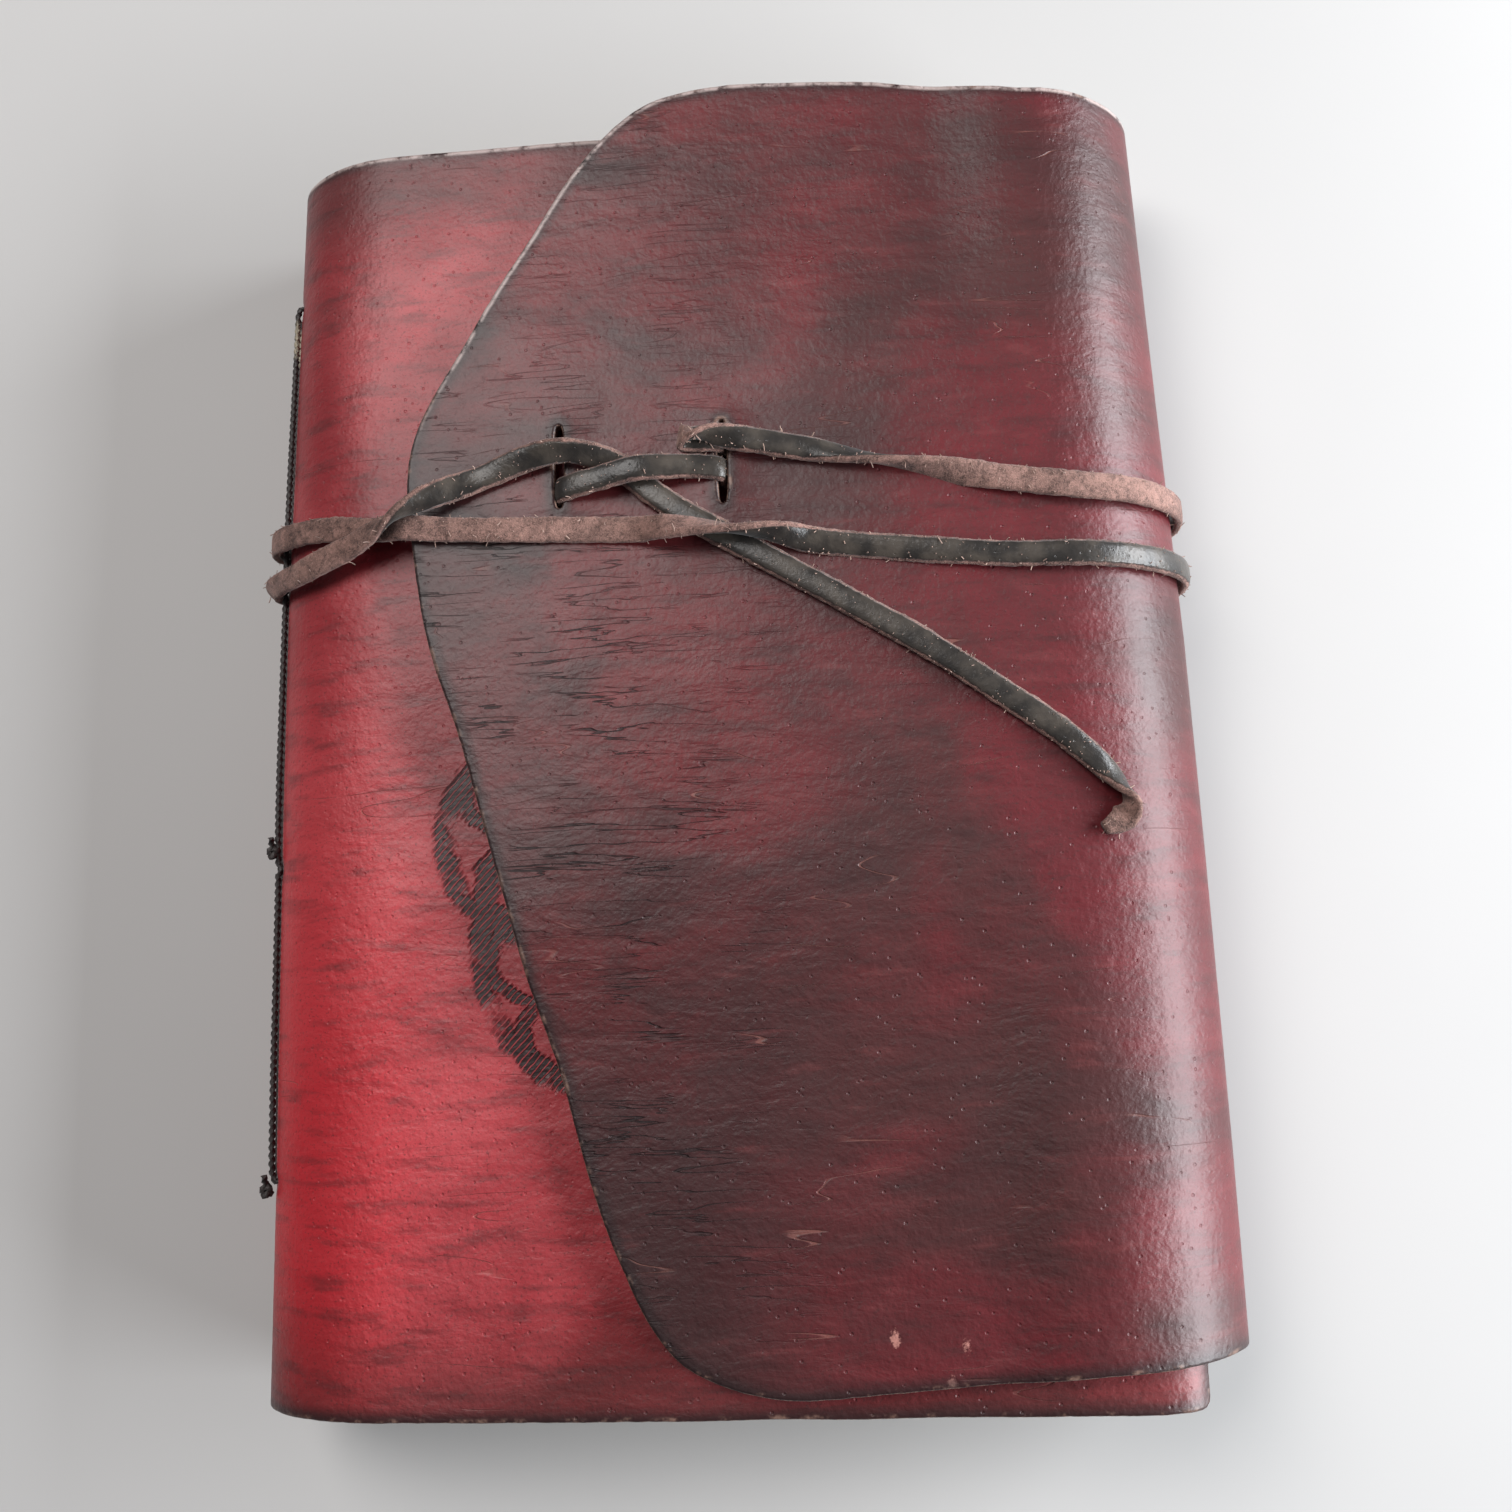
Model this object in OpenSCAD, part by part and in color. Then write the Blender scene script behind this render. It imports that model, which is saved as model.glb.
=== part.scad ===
// Limp leather journal lying on its back cover: spine at -X, fore-edge at +X,
// head at +Y. The cover is one hide that wraps over the fore-edge as a shaped
// flap, and a leather lace ties it shut. Millimetres.

/* [Leather cover] */
// Width from the spine's outer face to the fore-edge's outer face
cover_w = 130.5; // [128:0.5:134]
// Height of the front and back covers
cover_h = 177; // [170:0.5:180]
// Thickness of the hide
hide_t = 2; // [1.8:0.1:2.2]
// Height of the front cover's outer face over the floor
front_z = 24.2; // [23:0.1:25]
// Height of the flap's outer face over the floor
flap_z = 28; // [27.8:0.1:30]
// How far the rounded spine and fore-edge reach inwards
roll_w = 20; // [18:0.5:22]

/* [Flap slits] */
// Length of each of the two lace slits in the flap
slit_len = 11.8; // [11:0.1:13]
// Width of a slit where the lace holds it open
slit_w = 1.7; // [1.7:0.1:2]

/* [Paper] */
// Height of the sheets
page_h = 171; // [160:0.5:173]
// Thickness of one signature near the fore-edge
sig_t = 6.2; // [5.6:0.1:6.2]
// Distance between two signatures' folds at the spine
fold_pitch = 3.4; // [3:0.1:3.6]

/* [Sewing] */
// Diameter of the waxed thread
thread_d = 1; // [0.8:0.1:1.1]
// Distance between two sewing stations
station_pitch = 43; // [40:0.5:44]
// Height of the lowest station, from the middle
station_low = -62; // [-64:0.5:-60]

/* [Lace] */
// Width of the flat leather lace
lace_w = 3.6; // [3.2:0.1:3.8]
// Thickness of the lace
lace_t = 1.4; // [1.2:0.1:1.4]

/* [Hidden] */
$fn = 48;

y_head = 85.75;                       // covers' top edge
y_tail = y_head - cover_h;            // covers' bottom edge
spine_x = 0.65 - cover_w / 2;         // spine's outermost face
fore_x = spine_x + cover_w;           // fore-edge's outermost face
spine_cx = spine_x + roll_w;          // where the spine's roll ends
fore_cx = fore_x - roll_w - 0.4;      // where the fore-edge's roll ends
mid_z = front_z / 2;                  // middle of the spine
fore_z = flap_z / 2;                  // middle of the fore-edge
joint_gap = 0.3;                      // between bodies that move apart
stations = [for (i = [0:3]) station_low + i * station_pitch];
column_z = [for (i = [-1:1]) mid_z + i * fold_pitch];
slit_x = [-20.4, 2.2];
slit_y = [33.8, 33.2];

function roll(cx, cz, a, b, t0, t1, n) =
    [for (i = [0:n]) let (t = t0 + (t1 - t0) * i / n) [cx + a * cos(t), cz + b * sin(t)]];
function reversed(v) = [for (i = [len(v) - 1:-1:0]) v[i]];
function ease(t) = let (u = min(1, max(0, t))) u * u * (3 - 2 * u);
function lerp(a, b, t) = a + (b - a) * t;
function smooth(p, n) = [for (i = [0:len(p) - 2], j = [0:n - 1])
    let (a = p[max(0, i - 1)], b = p[i], c = p[i + 1], d = p[min(len(p) - 1, i + 2)], t = j / n)
    0.5 * (2 * b + (c - a) * t + (2 * a - 5 * b + 4 * c - d) * t * t
           + (3 * b - a - 3 * c + d) * t * t * t)];

// Extrudes an X-Z outline along Y, between two heights.
module along_y(y0, y1) {
    translate([0, y1, 0]) rotate([90, 0, 0]) linear_extrude(y1 - y0) children();
}

// Two shallow channels that the lace presses into the underside.
back_runs = [[26, 30.4], [17.4, 22.8]];      // y at the fore-edge, y at the spine
module lace_channels() {
    for (r = back_runs) {
        dx = fore_cx - spine_cx;
        dy = r[0] - r[1];
        translate([(fore_cx + spine_cx) / 2, (r[0] + r[1]) / 2, 0])
            rotate([0, 0, atan2(dy, dx)])
                translate([-(dx + 21) / 2, -lace_w / 2 - 0.5, -1])
                    cube([dx + 21, lace_w + 1, lace_t + 0.15 + 1]);
    }
}

module back_cover() color([0.30, 0.09, 0.09]) difference() {
    translate([spine_cx, y_tail, 0])
        cube([fore_cx - joint_gap - spine_cx, cover_h, hide_t]);
    lace_channels();
}

module spine() color([0.50, 0.08, 0.11]) difference() {
    along_y(y_tail, y_head) polygon(concat(
        roll(spine_cx, mid_z, roll_w, mid_z, 90, 270, 28),
        reversed(roll(spine_cx, mid_z, roll_w - hide_t, mid_z - hide_t, 90, 270, 28))));
    lace_channels();
    for (y = stations, z = column_z)
        translate([spine_x - 2, y, z]) rotate([0, 90, 0]) cylinder(h = 6, d = thread_d + 0.4);
}

// The front cover is limp, so its free edge droops inside the fore-edge's roll.
module front_cover() color([0.72, 0.13, 0.18])
    along_y(y_tail, y_head) translate([0, front_z]) polygon(concat(
        [[spine_cx + joint_gap, 0]], droop, reversed([for (p = droop) p - [0.6, hide_t]]),
        [[spine_cx + joint_gap, -hide_t]]));
droop = [[49, 0], [52, -0.1], [54, -0.35], [56, -0.9], [57.8, -1.8], [59.3, -3]];

// The wall leans a little towards the head as it rises, as the flap does.
flap_foot = [-85.8, 86.8];                    // flap's edges where it leaves the roll
module fore_edge() color([0.38, 0.07, 0.09]) difference() {
    intersection() {
        along_y(y_tail - 5, y_head + 10) polygon(concat(
            roll(fore_cx, fore_z, roll_w + 0.4, fore_z, -90, 90, 28),
            reversed(roll(fore_cx, fore_z, roll_w + 0.4 - hide_t, fore_z - hide_t, -90, 90, 28))));
        translate([fore_cx, 0, 0]) rotate([90, 0, 90]) linear_extrude(40) polygon([
            [y_tail, -1], [y_tail, 0], [flap_foot[0], flap_z], [flap_foot[0], flap_z + 1],
            [flap_foot[1], flap_z + 1], [flap_foot[1], flap_z], [y_head, 0], [y_head, -1]]);
    }
    lace_channels();
}

// The flap's free edge, from head to tail: a bold S with its nose high up.
flap_edge = [[25, 90.1], [3.5, 91.25], [-6.8, 89.4], [-12.7, 85.5], [-17.9, 79.6], [-27.4, 64.8],
             [-34.6, 52.3], [-41, 41], [-42.3, 33.5], [-41.2, 21.8], [-39.2, 10.3], [-35, -2.4],
             [-28.8, -24.1], [-24.9, -37.3], [-21, -48.8], [-17.2, -62.5], [-13.5, -72.3],
             [-9.9, -79.5], [-5, -84.8], [6, -88.2], [20.7, -87.7]];
module flap() color([0.33, 0.10, 0.10]) difference() {
    translate([0, 0, flap_z - hide_t]) linear_extrude(hide_t) polygon(concat(
        [[fore_cx - joint_gap, flap_foot[1]]], smooth(flap_edge, 3), [flap_edge[20]],
        [[fore_cx - joint_gap, flap_foot[0]]]));
    for (i = [0, 1]) translate([slit_x[i] - slit_w / 2, slit_y[i] - slit_len / 2, flap_z - hide_t - 1])
        cube([slit_w, slit_len, hide_t + 2]);
}

// A signature is folded sheets: its fold is drawn towards the middle of the
// spine and its body lies flat. k is the signature, -1 rear to 1 front, and
// s scales its thickness, so that a wrapper nests round its inner pages.
function fold(k) = spine_x + 2.7 + 2.2 * abs(k);
page_x = 51.5;
body_pitch = sig_t + 0.2;
function sig_mid(k, x) = mid_z + 0.12 + k * lerp(fold_pitch, body_pitch, ease((x - fold(0) - 1) / 17));
function sig_half(x, s) = s * lerp(1.5, sig_t / 2, ease((x - fold(0) - 1) / 17));
function sig_xs(x0) = [x0 + 0.15, x0 + 0.5, x0 + 1, for (i = [0:8]) lerp(x0 + 2.3, fold(0) + 19, i / 8)];
function sig_tip(i) = i == 0 ? 0.55 : i == 1 ? 0.85 : 1;
function sig_outline(k, s, x0, x1) = concat(
    [for (i = [0:11]) let (x = sig_xs(x0)[i]) [x, sig_mid(k, x) + sig_tip(i) * sig_half(x, s)]],
    [[x1, sig_mid(k, x1) + sig_half(x1, s)], [x1, sig_mid(k, x1) - sig_half(x1, s)]],
    [for (i = [11:-1:0]) let (x = sig_xs(x0)[i]) [x, sig_mid(k, x) - sig_tip(i) * sig_half(x, s)]]);
page_y = [(y_head + y_tail - page_h) / 2, (y_head + y_tail + page_h) / 2];
function seam(k) = fold(k) + 1.9;            // where the thread runs inside a fold
module sewing_holes(k) {
    for (y = stations) translate([fold(k) - 3, y, column_z[k + 1]])
        rotate([0, 90, 0]) cylinder(h = seam(k) - fold(k) + 3, d = thread_d + 0.1);
    translate([seam(k), stations[3] + thread_d / 2 + 0.05, column_z[k + 1]]) rotate([90, 0, 0])
        cylinder(h = 3 * station_pitch + thread_d + 0.1, d = thread_d + 0.1);
}
module wrapper(k) difference() {
    along_y(page_y[0], page_y[1]) polygon(sig_outline(k, 1, fold(k), page_x));
    along_y(page_y[0] - 1, page_y[1] + 1) polygon(sig_outline(k, 0.55, fold(k) + 0.7, page_x + 1));
    sewing_holes(k);
}
module pages(k) difference() {
    along_y(page_y[0] + 0.5, page_y[1] - 0.5) polygon(sig_outline(k, 0.55, fold(k) + 0.7, page_x - 1));
    sewing_holes(k);
}
module front_signature_wrapper() color([0.90, 0.86, 0.76]) wrapper(1);
module front_signature_pages() color([0.93, 0.90, 0.82]) pages(1);
module middle_signature_wrapper() color([0.90, 0.86, 0.76]) wrapper(0);
module middle_signature_pages() color([0.93, 0.90, 0.82]) pages(0);
module rear_signature_wrapper() color([0.90, 0.86, 0.76]) wrapper(-1);
module rear_signature_pages() color([0.93, 0.90, 0.82]) pages(-1);

// One thread per signature: long stitches outside, a run inside the fold, and
// a leg through the hide and the fold at each station.
function hide_face(z) = spine_cx - roll_w * sqrt(1 - pow((z - mid_z) / mid_z, 2));
function stitch_x(k) = hide_face(column_z[k + 1]) - thread_d / 2 - 0.03 - 0.1 * abs(k);
module sewing(k) {
    z = column_z[k + 1];
    xo = stitch_x(k);
    for (x = [xo, seam(k)]) translate([x, stations[3], z]) rotate([90, 0, 0])
        cylinder(h = 3 * station_pitch, d = thread_d);
    for (y = stations) translate([xo, y, z]) rotate([0, 90, 0])
        cylinder(h = seam(k) - xo, d = thread_d);
    for (x = [xo, seam(k)], y = [stations[0], stations[3]]) translate([x, y, z]) sphere(d = thread_d);
}
module front_thread() color([0.16, 0.12, 0.12]) sewing(1);
module middle_thread() color([0.16, 0.12, 0.12]) sewing(0);
module rear_thread() color([0.16, 0.12, 0.12]) sewing(-1);
// A knot is tied in the front thread, so it shares a little of it.
module knot(y) translate([stitch_x(1) - 0.55, y, column_z[2] + 0.4]) sphere(d = 1.8);
module thread_knot_middle() color([0.14, 0.11, 0.11]) knot(stations[1] + 2.4);
module thread_knot_tail() color([0.14, 0.11, 0.11]) knot(stations[0] - 1.2);

// The lace: x, y, z and the angle of the side that starts upwards, turned about
// Y. It loops through both slits, then winds twice round the journal and ends
// in a tail that is tucked under its own loop.
lift = lace_t / 2 + 0.12;
on_flap = flap_z + lift;
on_front = front_z + lift;
under_flap = (flap_z - hide_t + front_z) / 2;
low = lace_t / 2 + 0.03;
function fore_wrap(y0, y1) = [for (t = [77, 55, 33, 11, -11, -33, -55, -66])
    [fore_cx + (roll_w + 0.4 + lift + 0.35) * cos(t), lerp(y0, y1, (77 - t) / 143),
     max(low, fore_z + (fore_z + lift + 0.35) * sin(t)), t - 180]];
function spine_wrap(y0, y1, t1) = [for (t = [-66, -55, -33, -11, 11, 33, 58]) if (t <= t1)
    [spine_cx - (roll_w + lift + 1.5) * cos(t), lerp(y0, y1, (t + 66) / (t1 + 66)),
     max(low, mid_z + (mid_z + lift + 0.35) * sin(t)), -t - 360]];
route = concat(
    [[9, 31.6, under_flap, 90], [4.2, 31.8, under_flap, 90], [2.2, 32, 26.2, 0],
     [2.2, 32.1, 27.8, 0], [0.2, 32.3, on_flap, 90], [-5, 32.3, 29.8, 95],
     [-9.5, 32, 30.7, 90], [-14.5, 31.2, 29.8, 85], [-18.6, 30.6, on_flap, 90],
     [-20.4, 30.4, 27.8, 180], [-20.4, 30.5, 26.2, 180], [-18, 31.6, under_flap, 270],
     [-8, 34.4, under_flap, 270], [0.2, 36.2, under_flap, 270], [2.2, 36.4, 26.2, 360],
     [2.2, 36.4, 27.8, 360], [0.4, 36.3, on_flap, 450], [-2.3, 36.3, on_flap + 0.2, 430],
     [-3.1, 36.3, on_flap + 0.85, 360], [-2.3, 36.3, on_flap + 1.6, 290],
     [0.5, 36.2, on_flap + 1.7, 270], [6, 35.4, on_flap + 1.1, 270], [14, 34, on_flap, 270],
     [39, 28.7, on_flap, 270]],
    [for (p = fore_wrap(27, 26)) [p[0], p[1], p[2], p[3] + 360]],
    [[43, 26.1, low, 90], [-42, 30.2, low, 90]],
    [for (p = spine_wrap(30.8, 28.4, 58)) [p[0], p[1], p[2], p[3] + 360]],
    [[-50, 27.3, 25.8, -90], [-46, 26.7, 27.4, -90], [-42.6, 26.3, on_flap + 0.1, -90],
     [-36, 25.6, on_flap, -90], [-9.5, 23.9, on_flap, -90], [-5.2, 23.5, 30.5, -90],
     [9.5, 21.8, 30.5, -90], [14, 21, on_flap, -90], [39, 18, on_flap, -90]],
    fore_wrap(17.6, 17.3),
    [[43, 17.5, low, -270], [-42, 22.6, low, -270]],
    spine_wrap(23.2, 22.2, 36),
    [[-58.5, 22.4, 23.5, -450], [-52, 24, 26.6, -450], [-47, 25.8, 28.9, -450],
     [-42.8, 27.8, 30.6, -450], [-38, 30, 30.5, -450], [-31.5, 32.6, on_flap, -450],
     [-24.5, 34.7, 29.7, -450], [-18.9, 35.1, 30.5, -450], [-14.8, 34.2, 29.8, -450],
     [-11.4, 32.6, on_flap, -450], [-7.5, 29.2, on_flap, -450], [-3.6, 26.2, on_flap, -450],
     [28, 6.4, on_flap, -450], [38, -0.8, on_flap, -450], [45.4, -6.4, on_flap, -450],
     [50, -10.6, 28.6, -450], [52.8, -13.6, 28.3, -450], [54, -16, 28.1, -450],
     [52.6, -18, 28.3, -450], [50, -19.2, 28.6, -450]]);
function unit(v) = v / norm(v);
function at(i) = [route[i][0], route[i][1], route[i][2]];
function ring(i) = let (
    last = len(route) - 1,
    t = unit(at(min(last, i + 1)) - at(max(0, i - 1))),
    w = unit(cross(t, [cos(route[i][3]), 0, sin(route[i][3])])),
    n = cross(w, t))
    [for (c = [[1, 0], [0.8, 0.85], [0, 1], [-0.8, 0.85], [-1, 0], [-0.8, -0.85], [0, -1], [0.8, -0.85]])
        at(i) + c[0] * lace_w / 2 * w + c[1] * lace_t / 2 * n];
module lace() color([0.24, 0.20, 0.18]) {
    count = len(route);
    polyhedron(
        points = [for (i = [0:count - 1], p = ring(i)) p],
        faces = concat(
            [[for (j = [7:-1:0]) j]],
            [for (i = [0:count - 2], j = [0:7]) let (a = i * 8, k = (j + 1) % 8)
                [a + j, a + k, a + 8 + k, a + 8 + j]],
            [[for (j = [0:7]) (count - 1) * 8 + j]]),
        convexity = 10);
}

back_cover();
spine();
front_cover();
fore_edge();
flap();
front_signature_wrapper();
front_signature_pages();
middle_signature_wrapper();
middle_signature_pages();
rear_signature_wrapper();
rear_signature_pages();
front_thread();
middle_thread();
rear_thread();
thread_knot_middle();
thread_knot_tail();
lace();
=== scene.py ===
"""A limp leather journal, tied shut: one hide wraps a sewn block of paper and
comes round the fore-edge as a shaped flap, and a flat leather lace winds twice
round it. Metres; the spine is at -X, the head at +Y, and it lies on its back."""
import math

import bpy
import numpy as np
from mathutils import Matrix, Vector, geometry, noise


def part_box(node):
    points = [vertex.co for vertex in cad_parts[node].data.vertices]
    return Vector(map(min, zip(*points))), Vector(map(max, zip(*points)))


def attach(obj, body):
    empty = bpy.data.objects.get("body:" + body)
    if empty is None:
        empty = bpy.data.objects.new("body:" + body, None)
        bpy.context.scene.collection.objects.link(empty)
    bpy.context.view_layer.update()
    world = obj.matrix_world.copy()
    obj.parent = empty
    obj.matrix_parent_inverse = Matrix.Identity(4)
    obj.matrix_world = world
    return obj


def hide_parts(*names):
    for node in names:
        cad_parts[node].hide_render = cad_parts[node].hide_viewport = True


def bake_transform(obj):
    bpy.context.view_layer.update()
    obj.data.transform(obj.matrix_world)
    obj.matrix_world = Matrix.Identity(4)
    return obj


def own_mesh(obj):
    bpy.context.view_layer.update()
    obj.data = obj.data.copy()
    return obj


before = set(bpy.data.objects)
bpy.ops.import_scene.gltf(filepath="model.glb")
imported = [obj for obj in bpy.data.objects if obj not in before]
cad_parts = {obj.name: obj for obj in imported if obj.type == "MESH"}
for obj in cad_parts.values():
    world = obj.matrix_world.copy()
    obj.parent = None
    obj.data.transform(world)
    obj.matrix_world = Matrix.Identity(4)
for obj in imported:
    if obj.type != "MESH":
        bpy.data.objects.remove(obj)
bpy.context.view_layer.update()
scene = bpy.context.scene

# ---------------------------------------------------------------------------
# Camera: close above the journal, a little past its middle towards the tail
# and tipped towards the head.
lens = bpy.data.cameras.new("camera")
lens.sensor_width = 36
lens.lens = 33.8
lens.clip_start = 0.01
camera = bpy.data.objects.new("camera", lens)
camera.location = (0.0187, -0.0399, 0.2124)
camera.rotation_euler = [math.radians(a) for a in (9.744, 4.398, -1.770)]
scene.collection.objects.link(camera)
scene.camera = camera

# ---------------------------------------------------------------------------
# Lace: one flat strip of soft hide, dark and waxed on its grain side, pale and
# furry on its flesh side and along its cut edges. It loops through the flap's
# two slits, goes twice round the journal and ends in a tucked, curled tail.
MM = 0.001
LACE_W, LACE_T = 3.6, 1.4
front_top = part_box("front_cover")[1].z / MM
flap_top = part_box("flap")[1].z / MM
spine_low, spine_high = (np.array(c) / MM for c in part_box("spine"))
wall_low, wall_high = (np.array(c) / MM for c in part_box("fore_edge"))
spine_cx, spine_cz = spine_high[0], (spine_low[2] + spine_high[2]) / 2
fore_cx, fore_cz = wall_low[0], (wall_low[2] + wall_high[2]) / 2
spine_w, fore_w = spine_cx - spine_low[0], wall_high[0] - fore_cx
lift = LACE_T / 2 + 0.12
on_flap = flap_top + lift
under_flap = (flap_top - 2 + front_top) / 2
lowest = LACE_T / 2 + 0.03


def mixed(a, b, t):
    return a + (b - a) * t


def eased(t):
    t = np.clip(t, 0, 1)
    return t * t * (3 - 2 * t)


def fore_wrap(y0, y1, turn, roll):
    """Round the fore-edge, from the flap down to the back."""
    return [[fore_cx + (fore_w + lift + 0.35) * math.cos(math.radians(t)),
             mixed(y0, y1, (77 - t) / 143),
             max(lowest, fore_cz + (fore_cz + lift + 0.35) * math.sin(math.radians(t))),
             t - 180 + turn, roll] for t in (77, 55, 33, 11, -11, -33, -55, -66)]


def spine_wrap(y0, y1, last, turn, rolls):
    """Round the spine, from the back up to the front cover."""
    angles = [t for t in (-66, -55, -33, -11, 11, 33, 58) if t <= last]
    return [[spine_cx - (spine_w + lift + 1.5) * math.cos(math.radians(t)),
             mixed(y0, y1, (t + 66) / (last + 66)),
             max(lowest, spine_cz + (spine_cz + lift + 0.35) * math.sin(math.radians(t))),
             -t - 360 + turn, roll] for t, roll in zip(angles, rolls)]


# x, y, z, the angle of the side that starts upwards, and the twist added to it
route = [
    [9, 31.6, under_flap, 90, 0], [4.2, 31.8, under_flap, 90, 0], [2.2, 32, 26.2, 0, 0],
    [2.2, 32.1, 27.8, 0, 0], [0.2, 32.3, on_flap, 90, 0], [-5, 32.3, 29.8, 95, 0],
    [-9.5, 32, 30.7, 90, 0], [-14.5, 31.2, 29.8, 85, 0], [-18.6, 30.6, on_flap, 90, 0],
    [-20.4, 30.4, 27.8, 180, 0], [-20.4, 30.5, 26.2, 180, 0], [-18, 31.6, under_flap, 270, 0],
    [-8, 34.4, under_flap, 270, 0], [0.2, 36.2, under_flap, 270, 0], [2.2, 36.4, 26.2, 360, 0],
    [2.2, 36.4, 27.8, 360, 0], [0.4, 36.3, on_flap, 450, 0], [-2.3, 36.3, on_flap + 0.2, 430, 0],
    [-3.1, 36.3, on_flap + 0.85, 360, 0], [-2.3, 36.3, on_flap + 1.6, 290, 40],
    [0.5, 36.2, on_flap + 1.7, 270, 110], [6, 35.4, on_flap + 1.1, 270, 180],
    [14, 34, on_flap, 270, 180], [39, 28.7, on_flap, 270, 360],
    *fore_wrap(27, 26, 360, 360),
    [43, 26.1, lowest, 90, 360], [-42, 30.2, lowest, 90, 360],
    *spine_wrap(30.8, 28.4, 58, 360, [360] * 7),
    [-50, 27.3, 25.8, -90, 360], [-46, 26.7, 27.4, -90, 360],
    [-42.6, 26.3, on_flap + 0.1, -90, 360], [-36, 25.6, on_flap, -90, 360],
    [-9.5, 23.9, on_flap, -90, 360], [-5.2, 23.5, 30.5, -90, 370], [9.5, 21.8, 30.5, -90, 480],
    [14, 21, on_flap, -90, 520], [39, 18, on_flap, -90, 540],
    *fore_wrap(17.6, 17.3, 0, 540),
    [43, 17.5, lowest, -270, 540], [-42, 22.6, lowest, -270, 540],
    *spine_wrap(23.2, 22.2, 36, 0, [540, 550, 590, 640, 690, 715]),
    [-58.5, 22.4, 23.5, -450, 720], [-52, 24, 26.6, -450, 720], [-47, 25.8, 28.9, -450, 740],
    [-42.8, 27.8, 30.6, -450, 800], [-38, 30, 30.5, -450, 860], [-31.5, 32.6, on_flap, -450, 900],
    [-24.5, 34.7, 29.7, -450, 880], [-18.9, 35.1, 30.5, -450, 850], [-14.8, 34.2, 29.8, -450, 870],
    [-11.4, 32.6, on_flap, -450, 900], [-7.5, 29.2, on_flap, -450, 900],
    [-3.6, 26.2, on_flap, -450, 900], [28, 6.4, on_flap, -450, 900], [38, -0.8, on_flap, -450, 900],
    [45.4, -6.4, on_flap, -450, 900], [50, -10.6, 28.6, -450, 910], [52.8, -13.6, 28.3, -450, 960],
    [54, -16, 28.1, -450, 1020], [52.6, -18, 28.3, -450, 1070], [50, -19.2, 28.6, -450, 1080]]


SWELL, SINK = 0.9, 1.15  # the block's swelling and the flap's sinking


def crown(x, y, z):
    """How far the limp top swells over the block, in millimetres."""
    across = np.clip(1 - (np.asarray(x) / 60) ** 2, 0, 1)
    along = np.clip(1 - (np.asarray(y) / 120) ** 2, 0, 1)
    return SWELL * across * along * eased((np.asarray(z) - 15) / 8)


def taper(x, y):
    """How the fore-edge and the spine draw in towards the head, in millimetres."""
    wall = np.interp(y, [-60, -21, 8, 44, 86], [0, 0.3, 0.7, 1.9, 3.1]) * eased((x - 44) / 20)
    back = np.interp(y, [-64, -10, 20, 86], [0.4, 0, 0.05, 1.3]) * eased((-44 - x) / 18)
    return back - wall


def walked_along(points):
    """The length walked from a line's start, at each of its points."""
    return np.concatenate([[0], np.cumsum(np.linalg.norm(np.diff(points, axis=0), axis=1))])


def resampled(points, walked, at):
    return np.column_stack([np.interp(at, walked, column) for column in points.T])


def rounded_path(rows, spacing):
    """A centripetal spline through the rows, sampled evenly by length."""
    rows = np.array(rows, float)
    rows = np.vstack([2 * rows[0] - rows[1], rows, 2 * rows[-1] - rows[-2]])
    fine = []
    for p0, p1, p2, p3 in zip(rows, rows[1:], rows[2:], rows[3:]):
        knots = np.cumsum([0] + [max(math.dist(a[:3], b[:3]), 0.01) ** 0.5
                                 for a, b in ((p0, p1), (p1, p2), (p2, p3))])
        steps = max(2, int(math.dist(p1[:3], p2[:3]) / 0.25))
        for t in np.linspace(knots[1], knots[2], steps, endpoint=False):
            a1 = mixed(p0, p1, (t - knots[0]) / (knots[1] - knots[0]))
            a2 = mixed(p1, p2, (t - knots[1]) / (knots[2] - knots[1]))
            a3 = mixed(p2, p3, (t - knots[2]) / (knots[3] - knots[2]))
            b1 = mixed(a1, a2, (t - knots[0]) / (knots[2] - knots[0]))
            b2 = mixed(a2, a3, (t - knots[1]) / (knots[3] - knots[1]))
            share = (t - knots[1]) / (knots[2] - knots[1])
            fine.append([*mixed(b1, b2, share)[:3], *mixed(p1[3:], p2[3:], share)])
    fine.append(rows[-2])
    fine = np.array(fine)
    walked = walked_along(fine[:, :3])
    at = np.linspace(0, walked[-1], int(walked[-1] / spacing) + 1)
    return resampled(fine, walked, at), walked[-1]


def add_piece(name, points, faces, smooth=True):
    """A mesh object whose place is in its mesh."""
    mesh = bpy.data.meshes.new(name)
    mesh.from_pydata([tuple(p) for p in points], [], faces)
    mesh.validate()
    if smooth:
        mesh.shade_smooth()
    piece = bpy.data.objects.new(name, mesh)
    scene.collection.objects.link(piece)
    return piece


def add_values(piece, name, values):
    layer = piece.data.attributes.new(name, "FLOAT", "POINT")
    layer.data.foreach_set("value", np.asarray(values, np.float32))


def wander(x, y, z, scale):
    return noise.noise(Vector((x * scale, y * scale, z * scale)))


def flap_dip(x, y):
    """How far the flap sinks onto the front cover where no lace holds it up."""
    clear = np.maximum(eased((np.abs(y - 12) - 34) / 28), 0.7 * eased((-20 - x) / 24))
    return -SINK * clear * eased((44 - x) / 12)


def limp(x, y):
    """The slow waves of a soft hide over loose paper."""
    return np.array([0.35 * wander(a, b, 0, 0.022) + 0.12 * wander(a, b, 9, 0.07)
                     for a, b in zip(x, y)])


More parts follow.
